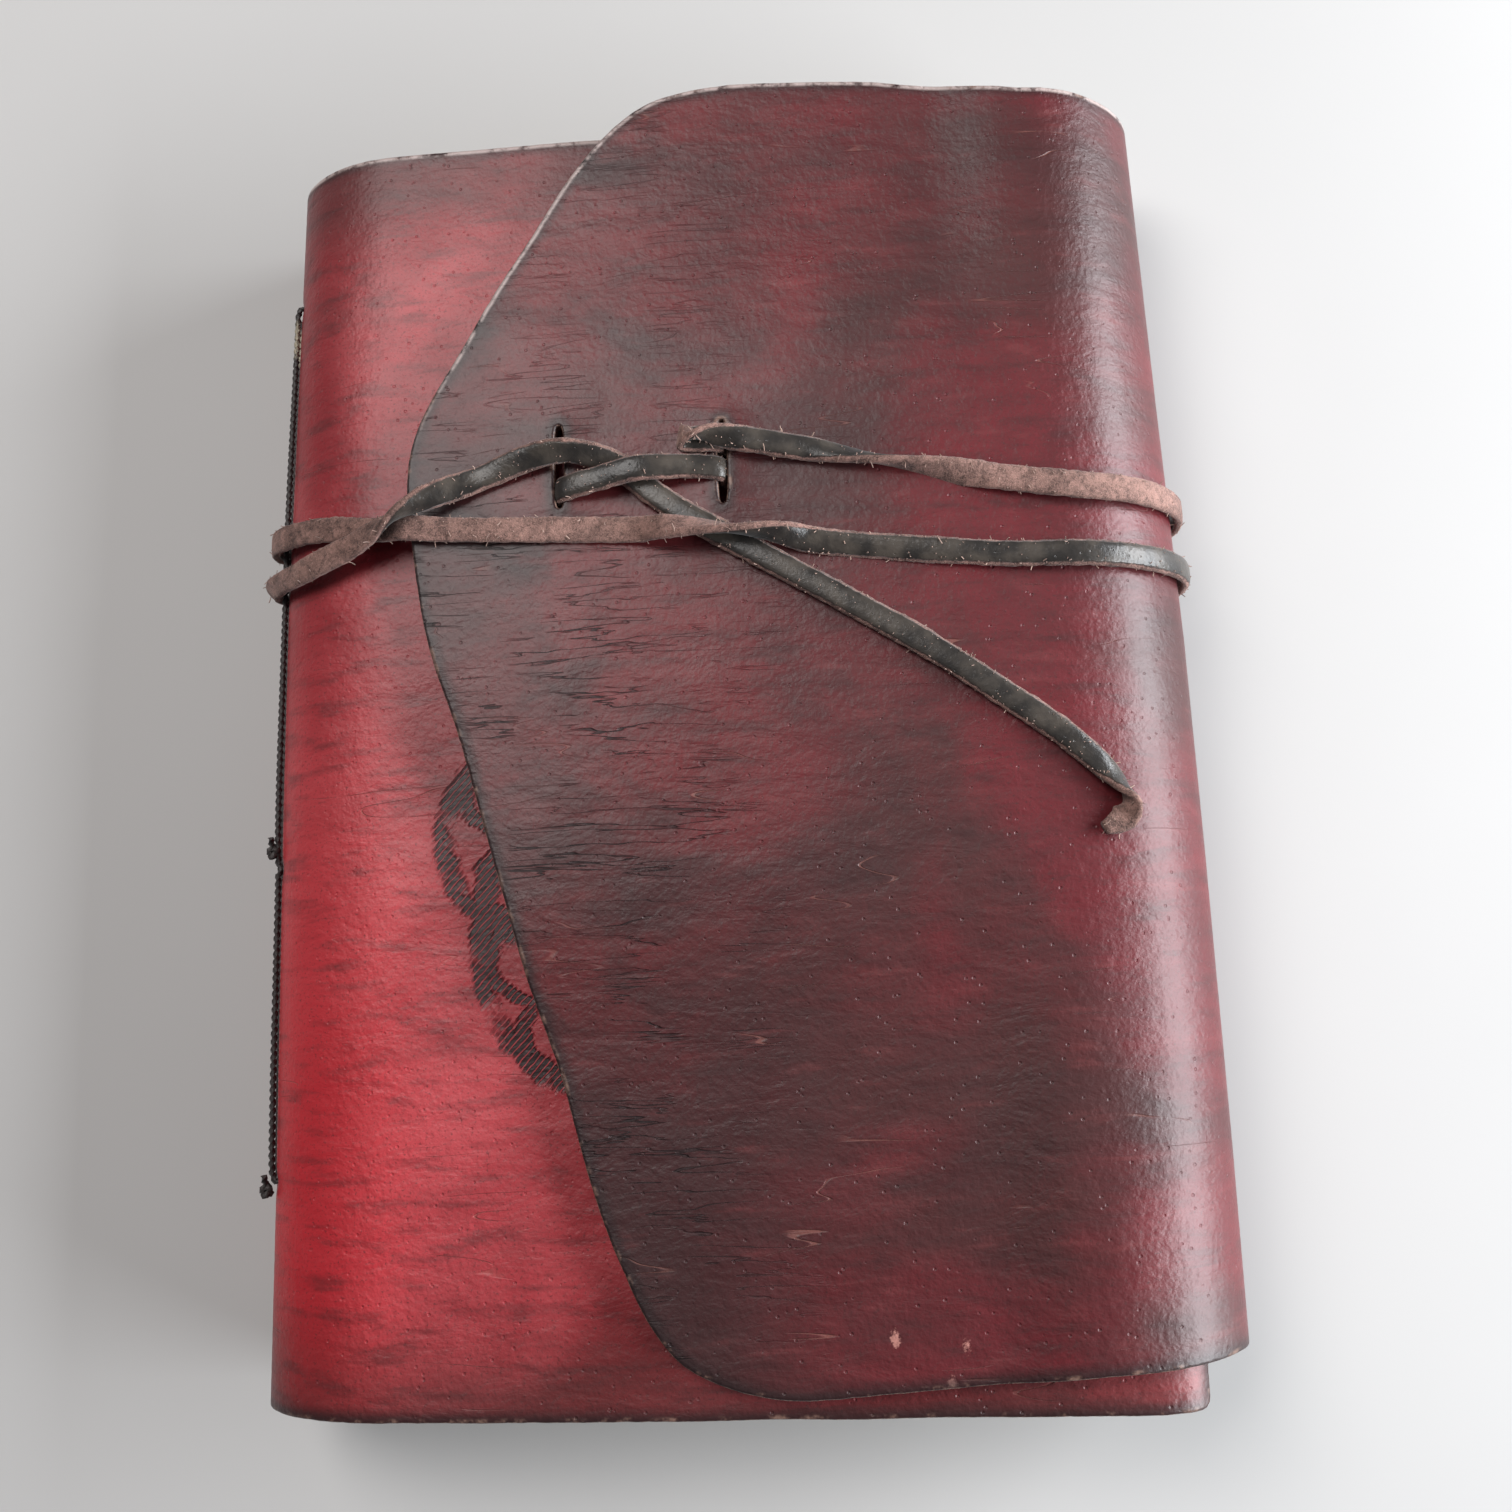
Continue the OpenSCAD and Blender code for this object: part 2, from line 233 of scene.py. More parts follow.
LACE_STEP = 0.6
path, lace_length = rounded_path(route, LACE_STEP)
path[:, 2] += crown(*path[:, :3].T) + limp(*path[:, :2].T) * eased((path[:, 2] - 14) / 9)
path[:, 2] += flap_dip(*path[:, :2].T) * eased((path[:, 2] - 25) / 3.5)
path[:, 0] += taper(*path[:, :2].T)
tangents = np.gradient(path[:, :3], axis=0)
tangents /= np.linalg.norm(tangents, axis=1)[:, None]
# The section is domed on the grain side and flatter on the flesh side.
section = [(1, 0, 1), (0.94, 0.42, 0.8), (0.74, 0.78, 0.3), (0.4, 0.96, 0), (0, 1.0, 0),
           (-0.4, 0.96, 0), (-0.74, 0.78, 0.3), (-0.94, 0.42, 0.8), (-1, 0, 1),
           (-0.97, -0.5, 1), (-0.82, -0.82, 1), (-0.42, -0.9, 1), (0, -0.93, 1),
           (0.42, -0.9, 1), (0.82, -0.82, 1), (0.97, -0.5, 1)]
lace_points, lace_flesh = [], []
for i, (row, along) in enumerate(zip(path, tangents)):
    angle, roll = math.radians(row[3]), math.radians(row[4])
    across = np.cross(along, (math.cos(angle), 0, math.sin(angle)))
    across /= np.linalg.norm(across)
    up = np.cross(across, along)
    side = across * math.cos(roll) + up * math.sin(roll)
    top = up * math.cos(roll) - across * math.sin(roll)
    tip = min(1, 0.45 + (len(path) - 1 - i) * 0.11)
    width = LACE_W / 2 * (1 + 0.09 * wander(i * LACE_STEP, 3, 0, 0.11)) * tip
    thick = LACE_T / 2 * (1 + 0.10 * wander(i * LACE_STEP, 9, 0, 0.19)) * mixed(0.7, 1, tip)
    for j, (a, b, flesh) in enumerate(section):
        ragged = 1 + 0.10 * flesh * wander(i * LACE_STEP, j * 2.3, 5, 1.1)
        lace_points.append((row[:3] + side * a * width * ragged + top * b * thick) * MM)
        lace_flesh.append(flesh)
sides = len(section)
lace_faces = [[i * sides + j, i * sides + (j + 1) % sides,
               (i + 1) * sides + (j + 1) % sides, (i + 1) * sides + j]
              for i in range(len(path) - 1) for j in range(sides)]
lace_faces += [list(range(sides))[::-1], [(len(path) - 1) * sides + j for j in range(sides)]]
lace = add_piece("lace_strip", lace_points, lace_faces)
add_values(lace, "flesh", lace_flesh)



def node(tree, kind, values=(), **settings):
    """A node with its settings, and its inputs set or linked by name or number."""
    made = tree.nodes.new(kind)
    for name, value in settings.items():
        setattr(made, name, value)
    for name, value in dict(values).items():
        socket = made.inputs[name]
        if isinstance(value, bpy.types.NodeSocket):
            tree.links.new(value, socket)
        elif isinstance(value, bpy.types.Node):
            tree.links.new(value.outputs[0], socket)
        else:
            socket.default_value = value
    return made


def grown(piece, tree, name, **inputs):
    """What a Geometry Nodes tree makes from a piece, as a plain mesh object."""
    modifier = piece.modifiers.new(name, "NODES")
    modifier.node_group = tree
    for item in tree.interface.items_tree:
        if item.item_type == "SOCKET" and item.in_out == "INPUT" and item.name in inputs:
            modifier[item.identifier] = inputs[item.name]
    shaped = piece.evaluated_get(bpy.context.evaluated_depsgraph_get())
    result = bpy.data.objects.new(name, bpy.data.meshes.new_from_object(shaped))
    piece.modifiers.remove(modifier)
    scene.collection.objects.link(result)
    return result


def new_group(name, kind, inputs, outputs):
    """A node group with its sockets, and the values that come into it."""
    tree = bpy.data.node_groups.new(name, kind + "NodeTree")
    for in_out, sockets in (("INPUT", inputs), ("OUTPUT", outputs)):
        for label, socket_kind in sockets.items():
            tree.interface.new_socket(label, in_out=in_out, socket_type="NodeSocket" + socket_kind)
    return tree, tree.nodes.new("NodeGroupInput").outputs


def give(tree, **values):
    """Send values out of a node group."""
    out = tree.nodes.new("NodeGroupOutput")
    for label, value in values.items():
        tree.links.new(value, out.inputs[label])


def finished(tree, geometry, finish):
    return node(tree, "GeometryNodeSetMaterial",
                {"Geometry": geometry, "Material": finish}).outputs[0]


def maths(tree, operation, *values):
    return node(tree, "ShaderNodeMath", dict(enumerate(values)), operation=operation).outputs[0]


def times(tree, first, *others):
    for other in others:
        first = maths(tree, "MULTIPLY", first, other)
    return first


def plus(tree, a, b, share=None):
    """a + b, or a + b * share."""
    return maths(tree, "ADD", a, b if share is None else times(tree, b, share))


def minus(tree, a, b, share=None):
    """a - b, or a - b * share."""
    return maths(tree, "SUBTRACT", a, b if share is None else times(tree, b, share))


def named(tree, label):
    return node(tree, "GeometryNodeInputNamedAttribute", {"Name": label}, data_type="FLOAT").outputs[0]


# Fibres stand up from the flesh side: short bent stems of three sides each.
fibre_tree, given = new_group("raised_fibres", "Geometry", {
    "Strip": "Geometry", "Per square metre": "Float", "Fibre length": "Float",
    "Fibre radius": "Float", "Seed": "Int", "Finish": "Material"}, {"Fibres": "Geometry"})
t = fibre_tree
density = times(t, maths(t, "POWER", named(t, "flesh"), 5.0), given["Per square metre"])
scatter = node(t, "GeometryNodeDistributePointsOnFaces",
               {"Mesh": given["Strip"], "Density": density, "Seed": given["Seed"]})
stem = node(t, "GeometryNodeCurveQuadraticBezier",
            {"Resolution": 2, "Start": (0, 0, 0), "Middle": (0, 0.1, 0.6), "End": (0.35, 0.25, 1)})
stem = node(t, "GeometryNodeTransform", {
    "Geometry": stem,
    "Scale": node(t, "ShaderNodeCombineXYZ", dict.fromkeys(range(3), given["Fibre length"]))})
ring = node(t, "GeometryNodeCurvePrimitiveCircle",
            {"Resolution": 3, "Radius": given["Fibre radius"]})
stem = node(t, "GeometryNodeCurveToMesh",
            {"Curve": stem, "Profile Curve": ring, "Fill Caps": True})
leaning = node(t, "FunctionNodeRandomValue",
               {0: (-0.9, -0.9, -3.14), 1: (0.9, 0.9, 3.14), "Seed": given["Seed"]},
               data_type="FLOAT_VECTOR")
turned = node(t, "FunctionNodeRotateRotation",
              {0: scatter.outputs["Rotation"],
               1: node(t, "FunctionNodeEulerToRotation", {0: leaning})},
              rotation_space="LOCAL")
size = node(t, "FunctionNodeRandomValue", {2: 0.45, 3: 1.35, "Seed": 3}, data_type="FLOAT")
placed = node(t, "GeometryNodeInstanceOnPoints",
              {"Points": scatter, "Instance": stem, "Rotation": turned, "Scale": size.outputs[1]})
real = node(t, "GeometryNodeRealizeInstances", {"Geometry": placed})
give(t, Fibres=finished(t, real, given["Finish"]))


def new_material(name, **constants):
    """A material with its shader, whose fixed values sit on the shader's sockets."""
    material = bpy.data.materials.new(name)
    material.use_nodes = True
    shader = material.node_tree.nodes["Principled BSDF"]
    for label, value in constants.items():
        shader.inputs[label.replace("_", " ")].default_value = value
    return material, material.node_tree, shader



def ramp(tree, value, low, high, to_low=0.0, to_high=1.0):
    """A smooth step of a value between two limits."""
    return node(tree, "ShaderNodeMapRange", {0: value, 1: low, 2: high, 3: to_low, 4: to_high},
                interpolation_type="SMOOTHSTEP").outputs[0]


def blend(tree, share, a, b):
    return node(tree, "ShaderNodeMix", {0: share, 6: a, 7: b}, data_type="RGBA").outputs[2]


def speckle(tree, vector, scale, detail=3.0, rough=0.55, distortion=0.0):
    """Cloudy noise from 0 to 1."""
    return node(tree, "ShaderNodeTexNoise", {
        "Vector": vector, "Scale": scale, "Detail": detail, "Roughness": rough,
        "Distortion": distortion}).outputs[0]


def attribute(tree, name):
    return node(tree, "ShaderNodeAttribute", attribute_name=name).outputs["Fac"]


def add_bump(tree, shader, height, distance):
    bump = node(tree, "ShaderNodeBump", {"Height": height, "Distance": distance, "Strength": 1.0})
    tree.links.new(bump.outputs[0], shader.inputs["Normal"])


def own_place(tree):
    return node(tree, "ShaderNodeTexCoord").outputs["Object"]


# Suede: the brushed flesh side of any hide in the journal.
suede, given = new_group("suede_nap", "Shader", {"Place": "Vector", "Dark": "Color", "Pale": "Color"},
                         {"Colour": "Color", "Height": "Float"})
nap = speckle(suede, given["Place"], 2600, 4, 0.65, 1.5)
tufts = speckle(suede, given["Place"], 480, 3, 0.6, 0.8)
patches = speckle(suede, given["Place"], 90, 2)
tone = plus(suede, times(suede, nap, 0.45), plus(suede, times(suede, tufts, 0.35), patches, 0.2))
give(suede, Height=tone,
     Colour=blend(suede, ramp(suede, tone, 0.36, 0.64), given["Dark"], given["Pale"]))

# Grain: fine pebbles with pores between them.
grain, given = new_group("hide_grain", "Shader", {"Place": "Vector", "Scale": "Float"},
                         {"Height": "Float"})
pebbles = node(grain, "ShaderNodeTexVoronoi", {
    "Vector": given["Place"], "Scale": given["Scale"], "Detail": 1.0}, feature="SMOOTH_F1")
pore_cells = node(grain, "ShaderNodeTexVoronoi", {
    "Vector": given["Place"], "Scale": times(grain, given["Scale"], 0.45)})
fine = speckle(grain, given["Place"], times(grain, given["Scale"], 0.6), 4.0, 0.65)
height = plus(grain, times(grain, pebbles.outputs["Distance"], -0.35), fine, 0.9)
give(grain, Height=minus(grain, height, ramp(grain, pore_cells.outputs["Distance"], 0.16, 0.05), 0.6))

lace_leather, t, shader = new_material("lace_leather", Coat_Weight=0.0, Sheen_Weight=0.12,
                                       Sheen_Roughness=0.5, Specular_IOR_Level=0.45)
place = own_place(t)
nap = node(t, "ShaderNodeGroup", {"Place": place, "Dark": (0.050, 0.025, 0.020, 1),
                                  "Pale": (0.34, 0.19, 0.155, 1)}, node_tree=suede)
skin = node(t, "ShaderNodeGroup", {"Place": place, "Scale": 1900.0}, node_tree=grain)
dye = blend(t, ramp(t, speckle(t, place, 260, 3), 0.35, 0.7),
            (0.017, 0.014, 0.012, 1), (0.062, 0.050, 0.040, 1))
worn = ramp(t, plus(t, attribute(t, "flesh"), speckle(t, place, 900, 3), 0.55), 0.62, 0.95)
t.links.new(blend(t, worn, dye, nap.outputs["Colour"]), shader.inputs["Base Color"])
t.links.new(ramp(t, worn, 0, 1, 0.33, 0.93), shader.inputs["Roughness"])
add_bump(t, shader, plus(t, times(t, skin.outputs["Height"], 0.35),
                         times(t, nap.outputs["Height"], worn), 1.6), 0.00022)
lace.data.materials.append(lace_leather)

lace_nap, t, shader = new_material("lace_nap", Roughness=0.9, Sheen_Weight=0.2, Specular_IOR_Level=0.2)
place = own_place(t)
tuft_tone = blend(t, speckle(t, place, 700, 2), (0.14, 0.075, 0.058, 1), (0.55, 0.38, 0.31, 1))
t.links.new(tuft_tone, shader.inputs["Base Color"])

fibres = grown(lace, fibre_tree, "lace_fibres", Finish=lace_nap, **{
    "Per square metre": 3.0e6, "Fibre length": 0.0011, "Fibre radius": 0.00006, "Seed": 11})
for piece in (lace, fibres):
    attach(piece, "flap")
    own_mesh(piece)
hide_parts("lace")

# ---------------------------------------------------------------------------
# Hide: one piece of dyed leather, 2 mm thick, cut with a shears and burnished
# at its edges. It runs from the front cover's free edge round the spine, the
# back and the fore-edge to the flap, and is three butted pieces here only
# because the journal opens.
HIDE_T = 2.0
HIDE_GRID = 1.2  # spacing of the points across the hide
HIDE_STEP, CUT_STEP = 0.25, 0.9  # and along its section and its outline
RIM = 0.55  # how far the rounded edge reaches in
tail_y, head_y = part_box("front_cover")[0].y / MM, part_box("front_cover")[1].y / MM
flap_foot = (-85.8, 86.8)
droop = [(59.3, -3), (57.8, -1.8), (56, -0.9), (54, -0.35), (52, -0.1), (49, 0)]
flap_edge = [(25, 90.1), (3.5, 91.25), (-6.8, 89.4), (-12.7, 85.5), (-17.9, 79.6), (-27.4, 64.8),
             (-34.6, 52.3), (-41, 41), (-42.3, 33.5), (-41.2, 21.8), (-39.2, 10.3), (-35, -2.4),
             (-28.8, -24.1), (-24.9, -37.3), (-21, -48.8), (-17.2, -62.5), (-13.5, -72.3),
             (-9.9, -79.5), (-5, -84.8), (6, -88.2), (20.7, -87.7)]
slits = [(-20.4, 33.8), (2.2, 33.2)]
SLIT_W, SLIT_LEN = 1.25, 11.8

outer = [(x, front_top + dz) for x, dz in droop]
outer += [(x, front_top) for x in np.arange(48, spine_cx, -1.5)]
outer += [(spine_cx + spine_w * math.cos(t), spine_cz + spine_cz * math.sin(t))
          for t in np.linspace(math.pi / 2, 1.5 * math.pi, 61)]
outer += [(x, 0) for x in np.arange(spine_cx + 1.5, fore_cx, 1.5)]
outer += [(fore_cx + fore_w * math.cos(t), fore_cz + fore_cz * math.sin(t))
          for t in np.linspace(-math.pi / 2, math.pi / 2, 65)]
outer += [(x, flap_top) for x in np.arange(fore_cx - 1.5, -46, -1.5)]
outer = np.array(outer)
outer = resampled(outer, walked_along(outer), np.arange(0, walked_along(outer)[-1], HIDE_STEP))
bend = np.gradient(outer, axis=0)
bend /= np.linalg.norm(bend, axis=1)[:, None]
outward = np.column_stack([bend[:, 1], -bend[:, 0]])
middle = outer - outward * HIDE_T / 2
hide_run = walked_along(middle)


def run_at(x, low, high):
    """The hide's run where it passes x between two indices of its line."""
    part = slice(low, high)
    order = np.argsort(middle[part, 0])
    return float(np.interp(x, middle[part, 0][order], hide_run[part][order]))


spine_index = int(np.argmin(middle[:, 0]))
wall_index = int(np.argmax(np.where(np.arange(len(middle)) > spine_index, middle[:, 0], -999)))
spine_mid, wall_mid = hide_run[spine_index], hide_run[wall_index]


def flap_run(x):
    return run_at(x, wall_index, len(middle))


def hide_point(u, y, height):
    """Where a point of the flat hide lies, height being above its middle."""
    x, z = (np.interp(u, hide_run, c) for c in middle.T)
    nx, nz = (np.interp(u, hide_run, c) for c in outward.T)
    return np.column_stack([x + nx * height, y, z + nz * height]), np.column_stack([nx, 0 * nx, nz])


# The outline, as it was cut: a straight front edge with clipped corners, then
# the flap's bold S.
wall_top = flap_run(fore_cx)
flap_line = rounded_path([(flap_run(x), y, 0) for x, y in flap_edge], 1.0)[0][:, :2]
wall_foot = run_at(fore_cx, spine_index, wall_index)
cut = [(wall_foot, head_y), (wall_top, flap_foot[1]), *flap_line, (wall_top, flap_foot[0]),
       (wall_top - 9, -85.4), (wall_mid + 6, -84.7), (wall_mid, -85.0), (wall_mid - 10, -85.6),
       (wall_foot + 3, -88.6), (wall_foot - 8, tail_y)]
corner = [(1.6 - 1.6 * math.sin(a), 1.6 - 1.6 * math.cos(a)) for a in np.linspace(0, math.pi / 2, 5)]
cut += [(u, tail_y + v) for u, v in corner] + [(u, head_y - v) for u, v in corner[::-1]]
cut = np.array(cut + cut[:1])
steps = walked_along(cut)
keep = np.concatenate([[True], np.diff(steps) > 1e-6])
cut = resampled(cut[keep], steps[keep], np.arange(0, steps[-1], CUT_STEP))


def loop_normals(loop):
    """Unit normals of a closed loop, to its right."""
    along = np.roll(loop, -1, axis=0) - np.roll(loop, 1, axis=0)
    along /= np.linalg.norm(along, axis=1)[:, None]
    return np.column_stack([along[:, 1], -along[:, 0]])


def loop_area(loop):
    nxt = np.roll(loop, -1, axis=0)
    return 0.5 * float(np.sum(loop[:, 0] * nxt[:, 1] - nxt[:, 0] * loop[:, 1]))


if loop_area(cut) < 0:
    cut = cut[::-1]
# Shears leave a slightly wandering line.
wobble = np.array([0.16 * wander(i * CUT_STEP, 1, 0, 0.09) + 0.07 * wander(i * CUT_STEP, 5, 0, 0.6)
                   for i in range(len(cut))])
cut = cut + loop_normals(cut) * wobble[:, None]
loops = [cut]
for x, y in slits:
    angles = np.linspace(0, 2 * math.pi, 56, endpoint=False)
    blunt = [(abs(math.cos(a)) ** 0.6 * np.sign(math.cos(a)) * SLIT_W / 2,
              abs(math.sin(a)) ** 0.6 * np.sign(math.sin(a)) * SLIT_LEN / 2) for a in angles]
    loops.append(np.array([(flap_run(x) + p, y + q) for p, q in blunt])[::-1])
borders = [loop - loop_normals(loop) * RIM for loop in loops]


def distance_to(points, loop):
    """How far points are from a closed loop."""
    nearest = np.full(len(points), 1e9)
    for a, b in zip(loop, np.roll(loop, -1, axis=0)):
        edge = b - a
        share = np.clip(((points - a) @ edge) / max(edge @ edge, 1e-9), 0, 1)
        gap = points - a - share[:, None] * edge
        nearest = np.minimum(nearest, np.einsum("ij,ij->i", gap, gap))
    return np.sqrt(nearest)


def inside(points, loop):
    hits = np.zeros(len(points), bool)
    for a, b in zip(loop, np.roll(loop, -1, axis=0)):
        crossing = (a[1] > points[:, 1]) != (b[1] > points[:, 1])
        with np.errstate(divide="ignore", invalid="ignore"):
            reach = (b[0] - a[0]) * (points[:, 1] - a[1]) / (b[1] - a[1]) + a[0]
        hits ^= crossing & (points[:, 0] < reach)
    return hits


rows = np.arange(tail_y - 2, head_y + 7, HIDE_GRID * 0.866)
dots = np.array([(u + (i % 2) * HIDE_GRID / 2, y) for i, y in enumerate(rows)
                 for u in np.arange(0, hide_run[-1] + 2, HIDE_GRID)])
dots = dots[inside(dots, borders[0])]
for border in borders:
    dots = dots[distance_to(dots, border) > 0.62]
for border in borders[1:]:
    dots = dots[~inside(dots, border)]
for butt in (spine_mid, wall_mid):
    dots = dots[np.abs(dots[:, 0] - butt) > 0.6]
    column = np.array([(butt, y) for y in np.arange(tail_y + 1.4, head_y + 2, HIDE_GRID)])
    column = column[inside(column, borders[0])]
    dots = np.vstack([dots, column[distance_to(column, borders[0]) > 0.5]])
flat = np.vstack([dots, *borders])
edges, start = [], len(dots)
for border in borders:
    edges += [(start + i, start + (i + 1) % len(border)) for i in range(len(border))]
    start += len(border)
for butt in (spine_mid, wall_mid):
    column = sorted((y, i) for i, (u, y) in enumerate(flat[:len(dots)]) if u == butt)
    edges += [(a[1], b[1]) for a, b in zip(column, column[1:])]
    for end, sign in ((column[0], -1), (column[-1], 1)):
        ring = [i for i in range(len(dots), len(dots) + len(borders[0])) if sign * flat[i][1] > 0]
        best = min(ring, key=lambda i: abs(flat[i][0] - butt))
        flat[best][0] = butt
        edges.append((end[1], best))
verts, _, tris, origins, _, _ = geometry.delaunay_2d_cdt(
    [Vector(p) for p in flat], edges, [], 1, 1e-5)
tris = np.array([[origins[c][0] for c in tri] for tri in tris])
centres = flat[tris].mean(axis=1)
wanted = inside(centres, borders[0])
for border in borders[1:]:
    wanted &= ~inside(centres, border)
tris = tris[wanted]
turns = np.cross(flat[tris[:, 1]] - flat[tris[:, 0]], flat[tris[:, 2]] - flat[tris[:, 0]])
tris[turns > 0] = tris[turns > 0][:, ::-1]

count = len(flat)
hide_faces = [list(t) for t in tris] + [[c + count for c in t[::-1]] for t in tris]
rim_rows = [(0.30, 0.97), (0.46, 0.80), (0.55, 0.45), (0.55, -0.45), (0.46, -0.80), (0.30, -0.97)]
edge_gap = np.minimum.reduce([distance_to(flat, loop) for loop in loops])
spots, heights, rims = [flat, flat], [np.ones(count), -np.ones(count)], [edge_gap, edge_gap]
sides_of = list(heights)
base, first = 2 * count, len(dots)
rim_chains = []
for border in borders:
    size = len(border)
    ring = flat[first:first + size]
    normals = loop_normals(ring)
    for reach, h in rim_rows:
        spots.append(ring + normals * reach)
        heights.append(np.full(size, h))
        rims.append(np.full(size, RIM - reach))
        sides_of.append(np.full(size, h if abs(h) > 0.9 else 0.3 * h))
    chain = [[first + i] + [base + r * size + i for r in range(len(rim_rows))] + [count + first + i]
             for i in range(size)]
    for a, b in zip(chain, chain[1:] + chain[:1]):
        hide_faces += [[a[r], b[r], b[r + 1], a[r + 1]] for r in range(len(a) - 1)]
    rim_chains.append(chain)
    base += size * len(rim_rows)
    first += size
spots, heights = np.vstack(spots), np.concatenate(heights)
rims, sides_of = np.concatenate(rims), np.concatenate(sides_of)
hide_points, hide_normals = hide_point(spots[:, 0], spots[:, 1], heights)
x, y, z = hide_points.T
lifted = crown(x, y, z) + limp(x, y) * eased((z - 14) / 9)
on_flap_part = eased((spots[:, 0] - wall_top + 6) / 8)
lifted += flap_dip(x, y) * on_flap_part
pucker = np.zeros(len(x))
for sx, sy in slits:
    gap = np.hypot((spots[:, 0] - flap_run(sx)) / 3.2, np.maximum(0, np.abs(y - sy) - 4.5) / 3.0)
    pucker += 0.35 * np.exp(-gap ** 2)
lifted += pucker * on_flap_part
# The lace presses two channels into the underside.
under = path[path[:, 2] < 3][:, :3]
low = np.where((z < 4.5) & (np.abs(x - 1) < 64))[0]
for part in np.array_split(low, 40):
    gaps = np.hypot(x[part, None] - under[None, :, 0], y[part, None] - under[None, :, 1])
    nearest = gaps.argmin(axis=1)
    surface = z[part] - (HIDE_T / 2 - heights[part]) * np.abs(hide_normals[part, 2])
    need = np.maximum(0, under[nearest, 2] + 0.80 - surface)
    need *= 1 - eased((gaps.min(axis=1) - 2.0) / 1.7)
    lifted[part] += need * np.where(heights[part] > 0, 1.0, 0.45)
hide_points[:, 2] += lifted
hide_points[:, 0] += taper(x, y)
# Thread holes dimple the spine.
thread_low, thread_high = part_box("front_thread")
stations = np.linspace(thread_low.y / MM + 0.5, thread_high.y / MM - 0.5, 4)
columns = [(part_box(n)[0].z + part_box(n)[1].z) / 2 / MM
           for n in ("rear_thread", "middle_thread", "front_thread")]
dimple = np.zeros(len(x))
for station in stations:
    for column in columns:
        gap = np.hypot(y - station, z - column)
        dimple += np.where(x < -50, np.exp(-(gap / 1.1) ** 2), 0)
hide_points[:, 0] += 0.3 * dimple

whole = add_piece("whole_hide", hide_points * MM, hide_faces)
whole_normals = np.zeros(len(hide_points) * 3, np.float32)
whole.data.vertex_normals.foreach_get("vector", whole_normals)
whole_normals = whole_normals.reshape(-1, 3)
bpy.data.objects.remove(whole)


def butt_caps(butt):
    """Faces that close a butt joint, through the hide's thickness."""
    column = [i for y, i in sorted((flat[i][1], i) for i in range(len(dots)) if flat[i][0] == butt)]
    ends = sorted((c for c in rim_chains[0] if flat[c[0]][0] == butt), key=lambda c: flat[c[0]][1])
    row = [ends[0][0], *column, ends[-1][0]]
    caps = [[a, b, b + count, a + count] for a, b in zip(row, row[1:])]
    return caps + [ends[0][::-1], ends[-1]]


face_run = np.array([spots[f, 0].mean() for f in hide_faces])


def hide_piece(name, low, high, caps):
    """The part of the hide between two runs, closed at its butts."""
    chosen = [hide_faces[i] for i in np.where((face_run > low) & (face_run < high))[0]]
    for butt, turn in caps:
        chosen += [f[::turn] for f in butt_caps(butt)]
    used = np.unique(np.concatenate([np.array(f) for f in chosen]))
    renumber = np.zeros(len(hide_points), int)
    renumber[used] = np.arange(len(used))
    piece = add_piece(name, hide_points[used] * MM, [[int(renumber[c]) for c in f] for f in chosen])
    mesh = piece.data
    uv = mesh.uv_layers.new(name="cut")
    corners = np.zeros(len(mesh.loops), np.int32)
    mesh.loops.foreach_get("vertex_index", corners)
    uv.data.foreach_set("uv", (spots[used][corners] * MM).astype(np.float32).ravel())
    add_values(piece, "from_edge", rims[used])
    add_values(piece, "grain_side", sides_of[used])
    add_values(piece, "dimple", dimple[used])
    mesh.normals_split_custom_set_from_vertices([tuple(n) for n in whole_normals[used]])
    return piece


front_half = hide_piece("front_hide", -1, spine_mid, [(spine_mid, 1)])
back_half = hide_piece("back_hide", spine_mid, wall_mid, [(spine_mid, -1), (wall_mid, 1)])
flap_half = hide_piece("flap_hide", wall_mid, 999, [(wall_mid, -1)])

# Its finish: crimson dye on the front cover and spine, darker oxblood with
# brown-black clouds on the flap, waxed and rubbed, with burnished edges.
hide_dye, given = new_group("hand_rubbed_dye", "Shader",
                            {"Cut": "Vector", "Edge": "Float", "Grain side": "Float"},
                            {"Colour": "Color", "Roughness": "Float", "Height": "Float", "Skin": "Float"})
t = hide_dye
cut_place, edge, side = given["Cut"], given["Edge"], given["Grain side"]
split = node(t, "ShaderNodeSeparateXYZ", {0: cut_place})
along, across = split.outputs[0], split.outputs[1]


def stretched(tree, vector, sx, sy, turn=0.0, shift=(0, 0, 0)):
    return node(tree, "ShaderNodeMapping", {"Vector": vector, "Scale": (sx, sy, 1),
                                            "Rotation": (0, 0, turn), "Location": shift}).outputs[0]


def hairline(tree, place, scale, detail, rough, distortion=0.0):
    """Nothing along a thin wandering line, and more the further away."""
    level = speckle(tree, place, scale, detail, rough, distortion)
    return maths(tree, "ABSOLUTE", minus(tree, level, 0.5))


def overlaid(tree, base, *coats):
    """A colour with others laid over it, each by its mask and its strength."""
    for mask, strength, tint in coats:
        base = blend(tree, times(tree, mask, strength), base, tint)
    return base


clouds = speckle(t, cut_place, 24, 3, 0.5, 0.6)
blots = speckle(t, stretched(t, cut_place, 0.6, 1.0, 0.1, (0.3, 0.1, 0)), 58, 4, 0.6, 0.4)
streaks = speckle(t, stretched(t, cut_place, 0.22, 1.0, 0.03), 420, 4, 0.6, 0.3)
specks = speckle(t, cut_place, 2300, 3, 0.7)
flapness = ramp(t, along, (spine_mid + 60) * MM, (wall_mid - 4) * MM)
past_wall = minus(t, along, wall_top * MM)
far_on_flap = ramp(t, past_wall, 0.012, 0.078)
tail_side = ramp(t, across, 0.030, -0.060)
headwards, tailwards = plus(t, across, blots, 0.03), minus(t, across, blots, 0.03)

